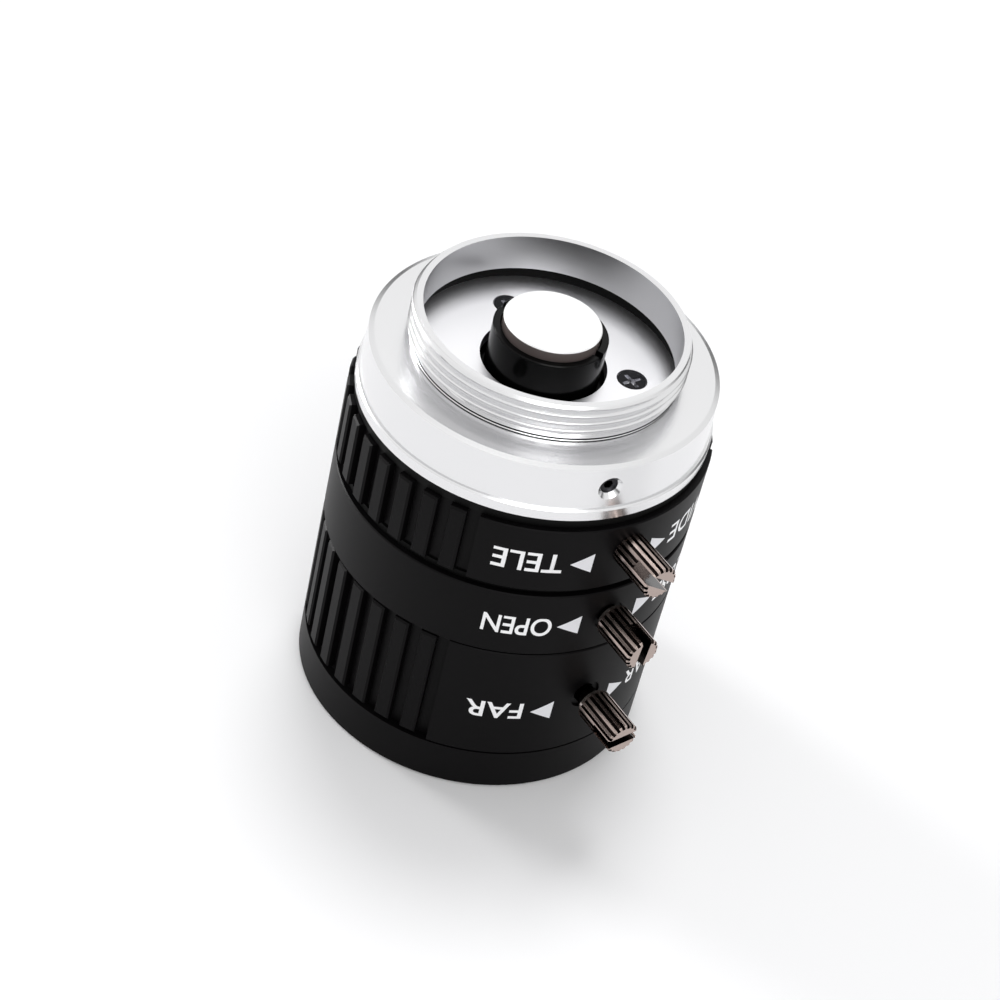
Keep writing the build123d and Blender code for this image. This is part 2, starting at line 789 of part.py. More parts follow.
def make_rear_group():
    """The rear cell with its four lenses, which the zoom cam moves along the axis."""
    with BuildPart() as rear_cell:
        spin([
            (rear_bore_radius, rear_tube_front),
            (rear_tube_radius, rear_tube_front),
            (rear_tube_radius, rear_web_bottom),
            (rear_sleeve_radius - rear_sleeve_wall, rear_web_bottom),
            (rear_sleeve_radius - rear_sleeve_wall, rear_sleeve_front),
            (rear_sleeve_radius, rear_sleeve_front),
            (rear_sleeve_radius, rear_sleeve_top),
            (rear_tube_radius, rear_sleeve_top),
            (rear_tube_radius, rear_tube_top),
            (nose_radius, rear_tube_top),
            (nose_radius, nose_top),
            (nose_bore_radius, nose_top),
            (nose_bore_radius, nose_seat_height),
            (nose_passage_radius, nose_seat_height),
            (nose_passage_radius, rear_lip_height),
            (rear_bore_radius, rear_lip_height),
        ])
        radial_bar(
            cam_pin_radius + seat_gap,
            drive_azimuth,
            cam_pin_height,
            rear_sleeve_radius - 2 * rear_sleeve_wall,
            rear_sleeve_radius + overrun,
            Mode.SUBTRACT,
        )
    save(rear_cell.part, "rear_cell")
    with BuildPart() as zoom_cam_pin:
        radial_bar(
            cam_pin_radius,
            drive_azimuth,
            cam_pin_height,
            rear_sleeve_radius - rear_sleeve_wall,
            ring_bore + cam_groove_depth - 2 * running,
        )
    save(zoom_cam_pin.part, "zoom_cam_pin")

    # The inner lenses, stacked forwards from the lip that holds them
    glass = rear_bore_radius - running
    ring_inner = glass - rear_ring_width
    third_out = face_out(glass, rear_lens_3_bulges[1], nose_passage_radius)
    third_rear = rear_lip_height - third_out - seat_gap
    third_front = third_rear - rear_lens_3_rim
    spacer_2_top = third_front - face_out(glass, rear_lens_3_bulges[0], ring_inner) - seat_gap
    spacer_2_bottom = spacer_2_top - rear_spacer_2_length
    spacer_1_top = spacer_2_bottom - rear_lens_2_rim
    spacer_1_bottom = spacer_1_top - rear_spacer_1_length
    first_rear = spacer_1_bottom - face_out(glass, rear_lens_1_bulges[1], ring_inner) - seat_gap
    first_front = first_rear - rear_lens_1_rim
    ring_top = first_front - face_out(glass, rear_lens_1_bulges[0], ring_inner) - seat_gap
    ring_bottom = ring_top - rear_inner_length
    save(lens_element(glass, third_front, third_rear, rear_lens_3_bulges), "rear_lens_3")
    save(plain_ring(ring_inner, glass, spacer_2_bottom, spacer_2_top), "rear_spacer_2")
    save(lens_element(glass, spacer_1_top, spacer_2_bottom, rear_lens_2_bulges), "rear_lens_2")
    save(plain_ring(ring_inner, glass, spacer_1_bottom, spacer_1_top), "rear_spacer_1")
    save(lens_element(glass, first_front, first_rear, rear_lens_1_bulges), "rear_lens_1")
    inner_ring = plain_ring(ring_inner, rear_bore_radius - seat_gap, ring_bottom, ring_top)
    save(inner_ring, "rear_inner_ring")

    glass_foot_radius = nose_bore_radius - running
    foot_top = nose_seat_height + rear_glass_foot
    with BuildPart() as rear_lens_4:
        spin([
            (0, nose_seat_height),
            (glass_foot_radius, nose_seat_height),
            (glass_foot_radius, foot_top),
            (rear_glass_radius, foot_top),
            (rear_glass_radius, rear_glass_top - ring_edge),
            (rear_glass_radius - ring_edge, rear_glass_top),
            (0, rear_glass_top),
        ])
    save(rear_lens_4.part, "rear_lens_4")
    with BuildPart() as rear_retaining_ring:
        rim_top = nose_top + rear_rim_height
        spin([
            (rear_glass_radius + running, foot_top),
            (nose_bore_radius - seat_gap, foot_top),
            (nose_bore_radius - seat_gap, nose_top),
            (nose_radius, nose_top),
            (nose_radius, rim_top - ring_edge),
            (nose_radius - ring_edge, rim_top),
            (rear_glass_radius + running + ring_edge, rim_top),
            (rear_glass_radius + running, rim_top - ring_edge),
        ])
        with BuildSketch(Plane.XY.offset(z_of(rim_top))) as notches:
            Rectangle(
                2 * (nose_radius + overrun),
                spanner_notch_width,
                rotation=spanner_notch_azimuth,
            )
        extrude(notches.sketch, amount=-spanner_notch_depth, mode=Mode.SUBTRACT)
    save(rear_retaining_ring.part, "rear_retaining_ring")


def stud_place(blade_turn, ring_turn):
    """X and Y of blade 0's drive stud as the drive ring sees it, each turned from rest."""
    turn = radians(blade_half_turn + blade_turn)
    x = pivot_radius + drive_open[0] * cos(turn) - drive_open[1] * sin(turn)
    y = drive_open[0] * sin(turn) + drive_open[1] * cos(turn)
    azimuth = degrees(atan2(y, x)) - ring_turn + blade_pattern_azimuth
    return place_at(hypot(x, y), azimuth)


def blade_blank(level):
    """A blade fully open with its pivot at azimuth 0, lying at its own level in the stack."""
    bottom = blade_bottom + level * blade_pitch
    top = bottom + blade_thickness
    with BuildPart() as blade:
        with BuildSketch(Plane.XY.offset(z_of(bottom))):
            with Locations((pivot_radius, 0)):
                Circle(blade_heel_radius)
            with Locations((pivot_radius + drive_open[0], drive_open[1])):
                Circle(blade_lug_radius)
            with Locations((blade_outer_radius - blade_heel_inset, blade_heel_across)):
                Circle(blade_heel_radius)
            make_hull()
            with BuildLine():
                outer = CenterArc((0, 0), blade_outer_radius, 0, blade_arc)
                inner = CenterArc((0, 0), blade_inner_radius, 0, blade_arc)
                Line(outer @ 0, inner @ 0)
                Line(outer @ 1, inner @ 1)
            make_face()
        extrude(amount=blade_thickness)
        with BuildSketch(Plane.XY.offset(z_of(top))) as pivot:
            with Locations((pivot_radius, 0)):
                Circle(pivot_stud_radius)
        extrude(pivot.sketch, amount=iris_seat_height - running - top)
        with BuildSketch(Plane.XY.offset(z_of(bottom))) as stud:
            with Locations((pivot_radius + drive_open[0], drive_open[1])):
                Circle(drive_stud_radius)
        extrude(stud.sketch, amount=drive_ring_bottom + running - bottom)
    return blade.part


def make_iris():
    """The iris: base plate, blades on their pivots, drive ring with its pin, and cover."""
    with BuildPart() as iris_base_plate:
        spin(ring_outline(iris_aperture_radius, iris_plate_radius, plate_front, iris_seat_height))
        with Locations(Plane.XY.offset(z_of(iris_seat_height))):
            with PolarLocations(pivot_radius, blade_count, start_angle=blade_pattern_azimuth):
                Hole(pivot_stud_radius + running)
    save(iris_base_plate.part, "iris_base_plate")

    for number in range(blade_count):
        blade = blade_blank(number)
        blade = blade.rotate(Axis((pivot_radius, 0, 0), (0, 0, 1)), blade_half_turn)
        blade = blade.rotate(Axis.Z, blade_pattern_azimuth + number * 360 / blade_count)
        save(blade, "iris_blade_" + str(number + 1))

    # Each slot follows the blade's stud from open, through rest, to closed
    stops = [
        stud_place(share * blade_half_turn, share * iris_half_turn)
        for share in (-1, 0, 1)
    ]
    with BuildSketch() as slot_shape:
        with BuildLine():
            ThreePointArc(*stops)
        trace(line_width=2 * (drive_stud_radius + stud_clearance))
        with Locations(stops[0], stops[2]):
            Circle(drive_stud_radius + stud_clearance)
    with BuildPart() as iris_drive_ring:
        spin(ring_outline(drive_ring_bore, drive_ring_radius, drive_ring_bottom, drive_ring_top))
        with BuildSketch(Plane.XY.offset(z_of(drive_ring_bottom))) as slots:
            with PolarLocations(0, blade_count):
                add(slot_shape.sketch)
        extrude(slots.sketch, amount=drive_ring_thickness, mode=Mode.SUBTRACT)
        radial_bar(
            iris_pin_radius + seat_gap,
            drive_azimuth,
            iris_pin_height,
            iris_pin_foot,
            drive_ring_radius + overrun,
            Mode.SUBTRACT,
        )
    save(iris_drive_ring.part, "iris_drive_ring")
    with BuildPart() as iris_drive_pin:
        radial_bar(
            iris_pin_radius,
            drive_azimuth,
            iris_pin_height,
            iris_pin_foot,
            ring_bore + iris_notch_depth - 2 * running,
        )
    save(iris_drive_pin.part, "iris_drive_pin")
    cover_top = drive_ring_bottom - 2 * end_play
    cover = plain_ring(cover_bore, iris_plate_radius, cover_top - cover_thickness, cover_top)
    save(cover, "iris_cover_ring")


os.makedirs("parts", exist_ok=True)
make_main_barrel()
make_mount_ring()
make_rear_plate()
make_focus_ring()
make_iris_ring()
make_zoom_ring()
make_lock_screw("focus", focus_screw_height, focus_screw_out, focus_slot_turn)
make_lock_screw("iris", iris_screw_height, iris_screw_out, iris_slot_turn)
make_lock_screw("zoom", zoom_screw_height, zoom_screw_out, zoom_slot_turn)
make_front_group()
make_rear_group()
make_iris()
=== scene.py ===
from math import radians

import bmesh
import bpy
import numpy as np
from mathutils import Matrix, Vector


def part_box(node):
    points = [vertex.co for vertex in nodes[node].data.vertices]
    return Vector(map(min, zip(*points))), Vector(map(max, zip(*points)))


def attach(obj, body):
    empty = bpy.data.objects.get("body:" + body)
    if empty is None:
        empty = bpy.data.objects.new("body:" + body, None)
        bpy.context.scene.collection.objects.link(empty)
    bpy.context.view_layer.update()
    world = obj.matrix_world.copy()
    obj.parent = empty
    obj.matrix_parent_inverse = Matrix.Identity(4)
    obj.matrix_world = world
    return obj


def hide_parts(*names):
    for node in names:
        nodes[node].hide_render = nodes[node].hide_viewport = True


# A varifocal lens standing on its front rim. Lengths are millimetres unless a name says metres.
# Heights are from the front rim and azimuths about the optical axis, as in the CAD model.
MM = 0.001
SEAT_HEIGHT = 39.4
MARK_AZIMUTH = -90

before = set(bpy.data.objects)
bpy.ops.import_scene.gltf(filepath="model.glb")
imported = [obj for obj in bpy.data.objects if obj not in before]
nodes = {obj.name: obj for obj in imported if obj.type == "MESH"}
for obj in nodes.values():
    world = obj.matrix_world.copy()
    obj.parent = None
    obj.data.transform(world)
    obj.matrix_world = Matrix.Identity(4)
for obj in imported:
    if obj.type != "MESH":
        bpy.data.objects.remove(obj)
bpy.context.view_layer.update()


def z_of(height):
    """Z in millimetres of a height above the front rim."""
    return height - SEAT_HEIGHT


# Surfaces

# In metres: points this close are one, and edges this short are dropped
MERGE_DISTANCE = 1e-7
SLIVER_LENGTH = 1e-8


def mesh_object(name, points, faces):
    """An object at the origin from points in millimetres, with its doubles merged."""
    mesh = bpy.data.meshes.new(name)
    mesh.from_pydata((np.asarray(points) * MM).tolist(), [], np.asarray(faces).tolist())
    work = bmesh.new()
    work.from_mesh(mesh)
    bmesh.ops.remove_doubles(work, verts=work.verts, dist=MERGE_DISTANCE)
    bmesh.ops.dissolve_degenerate(work, edges=work.edges, dist=SLIVER_LENGTH)
    work.to_mesh(mesh)
    work.free()
    piece = bpy.data.objects.new(name, mesh)
    bpy.context.scene.collection.objects.link(piece)
    return piece


def grid_faces(rows, columns):
    """Quads of a grid of points, row by row: each joins a point, its right neighbour and the two above."""
    corner = np.arange(rows - 1)[:, None] * columns + np.arange(columns - 1)[None, :]
    return np.stack([corner, corner + 1, corner + columns + 1, corner + columns], axis=-1).reshape(-1, 4)


def grid_object(name, points):
    """An object from a (rows, columns, 3) array of points."""
    rows, columns = points.shape[:2]
    return mesh_object(name, points.reshape(-1, 3), grid_faces(rows, columns))


def crease(piece, angle):
    """Smooth shading, with edges sharper than an angle in degrees kept crisp."""
    piece.data.shade_smooth()
    piece.data.set_sharp_from_angle(angle=radians(angle))


def on_ring(azimuth, height, radius):
    """Points at azimuths, heights and radii: x = radius cos azimuth, y = radius sin azimuth."""
    turn = np.radians(azimuth)
    flat = np.broadcast_arrays(radius * np.cos(turn), radius * np.sin(turn), z_of(height))
    return np.stack(flat, axis=-1)


# Mount thread

THREAD_RADIUS = 12.7
THREAD_PITCH = 25.4 / 32
THREAD_DEPTH = 0.487
CREST_SHARE = 1 / 16
ROOT_SHARE = 6 / 16
ROWS_PER_PITCH = 16
THREAD_COLUMNS = 288
THREAD_CREASE = 25
RELIEF_RADIUS = 12.25
RELIEF_FOOT = 0.12
RELIEF_TOP = 0.62
RELIEF_FILLET = 0.1
RUN_OUT_SLOPE = 1.5
THREAD_TOP = 3.84
LEAD_CHAMFER = 0.35

# Largest radii of the ring's undercut and of its bore, for telling their faces from the others, and how far
# sideways a face must look to count as a wall. The undercut's inward faces are painted matt black as shade,
# and the bore's are painted a little darker as shade.
UNDERCUT_RADIUS = 12.35
BORE_LIMIT = 11.95
WALL_FACING = 0.3
SEAT_MARGIN = 0.01


def thread_skin():
    """Outside of the mount's thread, from the flange seat to the top.

    Rows follow the helix, so a row's z rises by one pitch in a turn: z = row z + pitch * turn.
    The share is the distance from the nearest crest in pitches, and the radius is the crest radius
    less the depth times how far the share is from the crest's flat to the root's flat. Cones at
    both ends, one from the relief groove and one for the lead chamfer, hold the radius down.
    """
    step = THREAD_PITCH / ROWS_PER_PITCH
    row_z = np.arange(RELIEF_TOP - THREAD_PITCH, THREAD_TOP + step, step)[:, None]
    turn = np.linspace(0, 1, THREAD_COLUMNS + 1)[None, :]
    z = np.clip(row_z + THREAD_PITCH * turn, RELIEF_TOP, THREAD_TOP)
    share = np.abs((z / THREAD_PITCH - turn + 0.5) % 1 - 0.5)
    fall = np.clip((share - CREST_SHARE) / (ROOT_SHARE - CREST_SHARE), 0, 1)
    radius = THREAD_RADIUS - THREAD_DEPTH * fall
    radius = np.minimum(radius, RELIEF_RADIUS + RUN_OUT_SLOPE * (z - RELIEF_TOP))
    radius = np.minimum(radius, THREAD_RADIUS - LEAD_CHAMFER + (THREAD_TOP - z))
    thread = on_ring(360 * turn, z + SEAT_HEIGHT, radius)

    foot_z = np.array([0.0, 0.0, RELIEF_FOOT, RELIEF_TOP])[:, None]
    neck = RELIEF_RADIUS + RELIEF_FILLET
    foot_radius = np.array([THREAD_RADIUS, neck, RELIEF_RADIUS, RELIEF_RADIUS])[:, None]
    foot = on_ring(360 * turn, foot_z + SEAT_HEIGHT, foot_radius)
    return np.concatenate([foot, thread])


def make_mount_ring(silver, blasted, matt):
    """The mount ring in two pieces: the CAD ring with the plain outside of its thread taken off, and the
    thread. The ring keeps the shading of the CAD faces. Its bore gets the blasted finish, rougher and
    painted a little darker as shade, and the wider undercut below the bore is painted matt black as shade."""
    source = nodes["mount_ring"].data
    corners = np.empty(len(source.loops), dtype=np.int32)
    source.loops.foreach_get("vertex_index", corners)
    places = np.empty(len(source.vertices) * 3)
    source.vertices.foreach_get("co", places)
    normals = np.empty(len(source.loops) * 3)
    source.corner_normals.foreach_get("vector", normals)
    corners = corners.reshape(-1, 3)
    places = places.reshape(-1, 3)
    normals = normals.reshape(-1, 3, 3)

    merged, same = np.unique(places.round(8), axis=0, return_inverse=True)
    faces = same.reshape(-1)[corners]
    middle = merged[faces].mean(axis=1)
    facing = normals.mean(axis=1)
    reach = np.hypot(middle[:, 0], middle[:, 1])
    outward = (facing[:, 0] * middle[:, 0] + facing[:, 1] * middle[:, 1]) / reach
    whole = (faces[:, 0] != faces[:, 1]) & (faces[:, 1] != faces[:, 2]) & (faces[:, 2] != faces[:, 0])
    plain_thread = (middle[:, 2] > SEAT_MARGIN * MM) & (outward > WALL_FACING)
    kept = whole & ~plain_thread
    mesh = bpy.data.meshes.new("mount_ring_turned")
    mesh.from_pydata(merged.tolist(), [], faces[kept].tolist())
    mesh.shade_smooth()
    mesh.normals_split_custom_set(normals[kept].reshape(-1, 3).tolist())
    # Inward faces get painted shade: the bore a darker copy of the aluminium, the undercut matt black
    inside = (outward[kept] < -WALL_FACING) & (reach[kept] < UNDERCUT_RADIUS * MM)
    mesh.materials.append(silver)
    mesh.materials.append(blasted)
    mesh.materials.append(matt)
    undercut = inside & (reach[kept] > BORE_LIMIT * MM)
    mesh.polygons.foreach_set("material_index", inside.astype(np.int32) + undercut)
    ring = bpy.data.objects.new("mount_ring_turned", mesh)
    bpy.context.scene.collection.objects.link(ring)

    thread = grid_object("mount_thread", thread_skin())
    crease(thread, THREAD_CREASE)
    thread.data.materials.append(silver)
    for piece in (ring, thread):
        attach(piece, "barrel")
        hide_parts("mount_ring")


# Rear glass, standing proud of the cell

GLASS_RADIUS = 4.47
GLASS_BEVEL = 0.1
GLASS_STEP = 0.43
GLASS_FOOT = 40.3
GLASS_TOP = 42.69
GLASS_COLUMNS = 192
GLASS_CREASE = 30


def turned(name, profile):
    """A surface of revolution: each (radius, height) corner of the profile is turned about the axis."""
    radius, height = np.array(profile).T[:, :, None]
    turn = np.linspace(0, 360, GLASS_COLUMNS + 1)[None, :]
    return grid_object(name, on_ring(turn, height, radius))


def make_rear_glass(coated, ground):
    """The rear element in two pieces: its coated end face and bevel, painted white as a reflection of the
    sky, and its ground edge.
    """
    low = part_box("rear_lens_4")[0][2] / MM + SEAT_HEIGHT
    shoulder = GLASS_TOP - GLASS_BEVEL
    foot = GLASS_RADIUS + GLASS_STEP
    face = turned("rear_glass_face", [
        (GLASS_RADIUS, shoulder),
        (GLASS_RADIUS - GLASS_BEVEL, GLASS_TOP),
        (0, GLASS_TOP),
    ])
    edge = turned("rear_glass_edge", [
        (0, low),
        (foot, low),
        (foot, GLASS_FOOT),
        (GLASS_RADIUS, GLASS_FOOT),
        (GLASS_RADIUS, shoulder),
    ])
    # The end face is painted white as a reflection of the sky
    for piece, finish in ((face, coated), (edge, ground)):
        crease(piece, GLASS_CREASE)
        piece.data.materials.append(finish)
        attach(piece, "rear_group")
        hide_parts("rear_lens_4")


# Words and arrows, painted on the rings

BODY_RADIUS = 16.9
PAINT_LIFT = 0.015
STRIP_WIDTH = 0.35
LETTER_BOLDNESS = 0.012
LETTER_CURVE_STEPS = 6
ARROW_COLUMNS = 13

# Ring, heights of the arrows and of the words, then azimuths from the lock screw's: the tip and
# base of each arrow, and the side of each word that is nearer to the screw and its far side
LEGENDS = {
    "zoom_ring": {
        "arrow_heights": (28.0, 30.2),
        "word_heights": (28.1, 30.3),
        "left": ("TELE", (-19.2, -11.9), (-21.4, -42.9)),
        "right": ("WIDE", (16.0, 8.7), (43.6, 18.2)),
    },
    "iris_ring": {
        "arrow_heights": (20.3, 22.5),
        "word_heights": (20.3, 22.45),
        "left": ("OPEN", (-17.8, -10.2), (-19.5, -41.0)),
        "right": ("CLOSE", (18.4, 10.4), (46.0, 20.5)),
    },
    "focus_ring": {
        "arrow_heights": (9.24, 11.5),
        "word_heights": (9.5, 11.5),
        "left": ("FAR", (-18.7, -11.4), (-21.3, -39.6)),
        "right": ("NEAR", (17.2, 9.8), (42.3, 18.1)),
    },
}


def arrow(name, tip, base, low, high):
    """A painted triangle on a ring. With u from base to tip and v from edge to edge, the azimuth is
    base + u (tip - base), and the height is the middle plus v half-heights times 1 - u."""
    u = np.linspace(0, 1, ARROW_COLUMNS)[None, :]
    v = np.linspace(-1, 1, 3)[:, None]
    azimuth = MARK_AZIMUTH + base + u * (tip - base)
    height = (low + high) / 2 + v * (high - low) / 2 * (1 - u)
    if tip < base:
        height = height[::-1]
    return grid_object(name, on_ring(azimuth, height, BODY_RADIUS + PAINT_LIFT))


def word(name, letters, start, end, low, high):
    """A painted word on a ring, read with the lens front up. The flat letters are cut into strips,
    then x across the word runs from azimuth start to end and y up the letters from height high to low."""
    curve = bpy.data.curves.new(name, "FONT")
    curve.body = letters
    curve.resolution_u = LETTER_CURVE_STEPS
    curve.offset = LETTER_BOLDNESS
    text = bpy.data.objects.new(name, curve)
    bpy.context.scene.collection.objects.link(text)
    bpy.context.view_layer.update()
    mesh = bpy.data.meshes.new_from_object(text)
    bpy.data.objects.remove(text)
    bpy.data.curves.remove(curve)

    work = bmesh.new()
    work.from_mesh(mesh)
    bmesh.ops.remove_doubles(work, verts=work.verts, dist=1e-6)
    x = np.array([vert.co.x for vert in work.verts])
    left, right = x.min(), x.max()
    length = BODY_RADIUS * radians(abs(end - start))
    for cut in np.linspace(left, right, int(length / STRIP_WIDTH) + 2)[1:-1]:
        everything = work.verts[:] + work.edges[:] + work.faces[:]
        bmesh.ops.bisect_plane(work, geom=everything, plane_co=(cut, 0, 0), plane_no=(1, 0, 0), dist=1e-7)
    work.to_mesh(mesh)
    work.free()

    flat = np.empty(len(mesh.vertices) * 3)
    mesh.vertices.foreach_get("co", flat)
    flat = flat.reshape(-1, 3)
    across = (flat[:, 0] - left) / (right - left)
    up = flat[:, 1] / flat[:, 1].max()
    azimuth = MARK_AZIMUTH + start + across * (end - start)
    places = on_ring(azimuth, high + np.clip(up, 0, 1) * (low - high), BODY_RADIUS + PAINT_LIFT) * MM
    mesh.vertices.foreach_set("co", places.ravel())
    mesh.update()
    piece = bpy.data.objects.new(name, mesh)
    bpy.context.scene.collection.objects.link(piece)
    return piece


def paint_legends(letter_paint, arrow_paint):
    """Paints the words and arrows of the three rings."""
    for ring, legend in LEGENDS.items():
        for side in ("left", "right"):
            letters, (tip, base), (start, end) = legend[side]
            mark = arrow(ring + "_arrow_" + side, tip, base, *legend["arrow_heights"])
            label = word(ring + "_word_" + letters.lower(), letters, start, end, *legend["word_heights"])
            for piece, paint in ((mark, arrow_paint), (label, letter_paint)):
                piece.data.materials.clear()
                piece.data.materials.append(paint)
                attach(piece, ring)


# Materials

def linear(code):
    """Linear RGBA of an sRGB hex colour."""
    srgb = np.array([int(code[k:k + 2], 16) for k in (1, 3, 5)]) / 255
    rgb = np.where(srgb <= 0.04045, srgb / 12.92, ((srgb + 0.055) / 1.055) ** 2.4)
    return (*rgb.tolist(), 1.0)


def node(owner, kind, settings=(), links=()):
    """Adds a node to a material or the world. Settings set its sockets or properties, and links join
    its sockets, by name or number, to the output sockets of earlier nodes."""
    made = owner.node_tree.nodes.new(kind)
    for name, value in dict(settings).items():
        if isinstance(name, int) or name in made.inputs:
            made.inputs[name].default_value = value
        else:
            setattr(made, name, value)
    for name, source in dict(links).items():
        owner.node_tree.links.new(source, made.inputs[name])
    return made


def finish_material(name, settings):
    """A material whose shader has these constant settings, with its shader returned too."""
    material = bpy.data.materials.new(name)
    material.use_nodes = True
    shader = material.node_tree.nodes["Principled BSDF"]
    for socket, value in settings.items():
        shader.inputs[socket].default_value = value
    return material, shader


def grain(material, shader, size, depth, strength, stretch=(1, 1, 1)):
    """Fine surface grain: noise whose features have that size, as a bump of that depth, both in
    millimetres. The strength is how much of the bump shows."""
    place = node(material, "ShaderNodeTexCoord")
    stretched = node(
        material, "ShaderNodeMapping", {"Scale": stretch}, {"Vector": place.outputs["Object"]}
    )
    noise = node(
        material,
        "ShaderNodeTexNoise",
        {"Scale": 1 / (size * MM), "Detail": 3.0, "Roughness": 0.6},
        {"Vector": stretched.outputs["Vector"]},
    )
    bump = node(
        material,
        "ShaderNodeBump",
        {"Strength": strength, "Distance": depth * MM},
        {"Height": noise.outputs["Fac"]},
    )
    material.node_tree.links.new(bump.outputs["Normal"], shader.inputs["Normal"])


def two_tone(material, shader, share, low, high):
    """Colours a finish from low to high as the share goes from 0 to 1."""
    colour = node(
        material,
        "ShaderNodeMix",
        {"data_type": "RGBA", 6: linear(low), 7: linear(high)},
        {0: share},
    )
    material.node_tree.links.new(colour.outputs[2], shader.inputs["Base Color"])


def dress(names, material):
    """Gives CAD nodes a material."""
    for name in names:
        mesh = nodes[name].data
        mesh.materials.clear()
        mesh.materials.append(material)


def screw_steel_painted_cross_highlight():
    """Blackened steel of the plate's screws, whose driven crosses are painted bright as a highlight below
    the head's top.
    """
    material, shader = finish_material("blackened_screw_steel_painted_cross_highlight", {
        "Metallic": 1.0,
        "Roughness": 0.24,
    })
    place = node(material, "ShaderNodeTexCoord")
    depth = node(material, "ShaderNodeSeparateXYZ", {}, {"Vector": place.outputs["Object"]})
    cross_highlight = node(
        material,
        "ShaderNodeMapRange",
        {"From Min": SCREW_HEAD_Z * MM, "From Max": CROSS_HIGHLIGHT_Z * MM},
        {"Value": depth.outputs["Z"]},
    )
    # The cross is painted brighter the deeper it goes, as a highlight
    two_tone(material, shader, cross_highlight.outputs["Result"], "#232325", "#cbcbcf")
    return material


def nickel_painted_shade_and_highlight(ring, height):
    """Steel in nickel plate with a warm cast, for one lock screw, with painted shade and a painted
    highlight. It is painted dark as shade in the grooves, and painted bright as a highlight on the ridges,
    where the radius from the screw's axis is large, and on the end face, which looks along the axis."""
    material, shader = finish_material("dark_nickel_plated_steel_" + ring, {
        "Metallic": 1.0,
        "Roughness": 0.2,
    })
    place = node(material, "ShaderNodeTexCoord")
    centred = node(
        material,
        "ShaderNodeMapping",
        {"Location": (0, 0, -z_of(height) * MM), "Scale": (1, 0, 1)},
        {"Vector": place.outputs["Object"]},
    )
    reach = node(
        material, "ShaderNodeVectorMath", {"operation": "LENGTH"}, {"Vector": centred.outputs["Vector"]}
    )
    ridge = node(
        material,
        "ShaderNodeMapRange",
        {"From Min": GROOVE_REACH * MM, "From Max": RIDGE_REACH * MM},
        {"Value": reach.outputs["Value"]},
    )
    facing = node(material, "ShaderNodeSeparateXYZ", {}, {"Vector": place.outputs["Normal"]})
    end_face = node(
        material,
        "ShaderNodeMapRange",
        {"From Min": END_FACE_FROM, "From Max": END_FACE_FULL},
        {"Value": facing.outputs["Y"]},
    )
    bright = node(
        material,
        "ShaderNodeMath",
        {"operation": "MAXIMUM"},
        {0: ridge.outputs["Result"], 1: end_face.outputs["Result"]},
    )
    # Painted shade in the grooves, and a painted highlight on the ridges and the end face
    two_tone(material, shader, bright.outputs[0], "#1d1816", "#b3a39c")
    grain(material, shader, NICKEL_GRAIN, 0.02, 0.05)
    return material


# Feature sizes of the grains. Beads leave pits of about 0.05 mm and a turning tool lines of about
# 0.1 mm, and all are drawn coarser so that they show.
BLASTED_GRAIN = 0.11
MATT_GRAIN = 0.14
TURNED_GRAIN = 0.67
BORE_GRAIN = 0.25
PLATE_GRAIN = 0.33
NICKEL_GRAIN = 0.2

# Where the lock screws' axes are, and how far from them lie the grooves, painted dark as shade, and the
# ridges, painted bright as a highlight
LOCK_SCREW_HEIGHTS = {"focus": 11.45, "iris": 21.7, "zoom": 30.0}
GROOVE_REACH = 1.42
RIDGE_REACH = 1.62

# How far a face must look along the screw's axis to count as its end face, from nowhere to fully. The end
# face is painted bright as a highlight.
END_FACE_FROM = -0.5
END_FACE_FULL = -0.8

# Z of the plate screws' heads, and the depth at which their crosses are fully painted bright as a highlight
SCREW_HEAD_Z = -1.26
CROSS_HIGHLIGHT_Z = -1.36

# Aluminium, bead blasted and anodised black: dark, with a broad soft sheen
anodised_black, shader = finish_material("black_anodised_aluminium", {
    "Base Color": linear("#070607"),
    "Metallic": 0.0,
    "Roughness": 0.45,
    "Specular IOR Level": 0.08,
})
grain(anodised_black, shader, BLASTED_GRAIN, 0.03, 0.12)

# The same finish inside the barrel, left matt to kill reflections
matt_black, shader = finish_material("matt_black_anodised_aluminium", {
    "Base Color": linear("#080808"),
    "Roughness": 0.55,
    "Specular IOR Level": 0.1,
})
grain(matt_black, shader, MATT_GRAIN, 0.03, 0.15)

# Aluminium turned on a lathe and clear finished: bright, with a fine circular sheen
turned_silver, shader = finish_material("turned_clear_aluminium", {
    "Base Color": linear("#e2e2e3"),
    "Metallic": 1.0,
    "Roughness": 0.22,
})
grain(turned_silver, shader, TURNED_GRAIN, 0.02, 0.05, (0.4, 0.4, 12))

# The same aluminium in the bore: bead blasted and dull, and painted a little darker as shade
blasted_bore_painted_shade, shader = finish_material("blasted_aluminium_bore_painted_shade", {
    "Base Color": linear("#d6d6d8"),
    "Metallic": 1.0,
    "Roughness": 0.3,
})
grain(blasted_bore_painted_shade, shader, BORE_GRAIN, 0.02, 0.08)

# Aluminium plate, turned on its face: softer than the ring
satin_plate, shader = finish_material("satin_aluminium_plate", {
    "Base Color": linear("#d8d8da"),
    "Metallic": 1.0,
    "Roughness": 0.4,
})
grain(satin_plate, shader, PLATE_GRAIN, 0.02, 0.05)

# Steel washers, nickel plated and bright
bright_nickel, _ = finish_material("bright_nickel_plated_steel", {
    "Base Color": linear("#cfc4bd"),
    "Metallic": 1.0,
    "Roughness": 0.14,
})

# Plain steel of small screws and pins
plain_steel, _ = finish_material("plain_steel", {
    "Base Color": linear("#a9a9ad"),
    "Metallic": 1.0,
    "Roughness": 0.3,
})

# Steel of the set screw, coloured dark as painted shade in its hole
set_screw_painted_shade, _ = finish_material("screw_steel_dark_as_painted_shade", {
    "Base Color": linear("#37373a"),
    "Metallic": 1.0,
    "Roughness": 0.28,
})

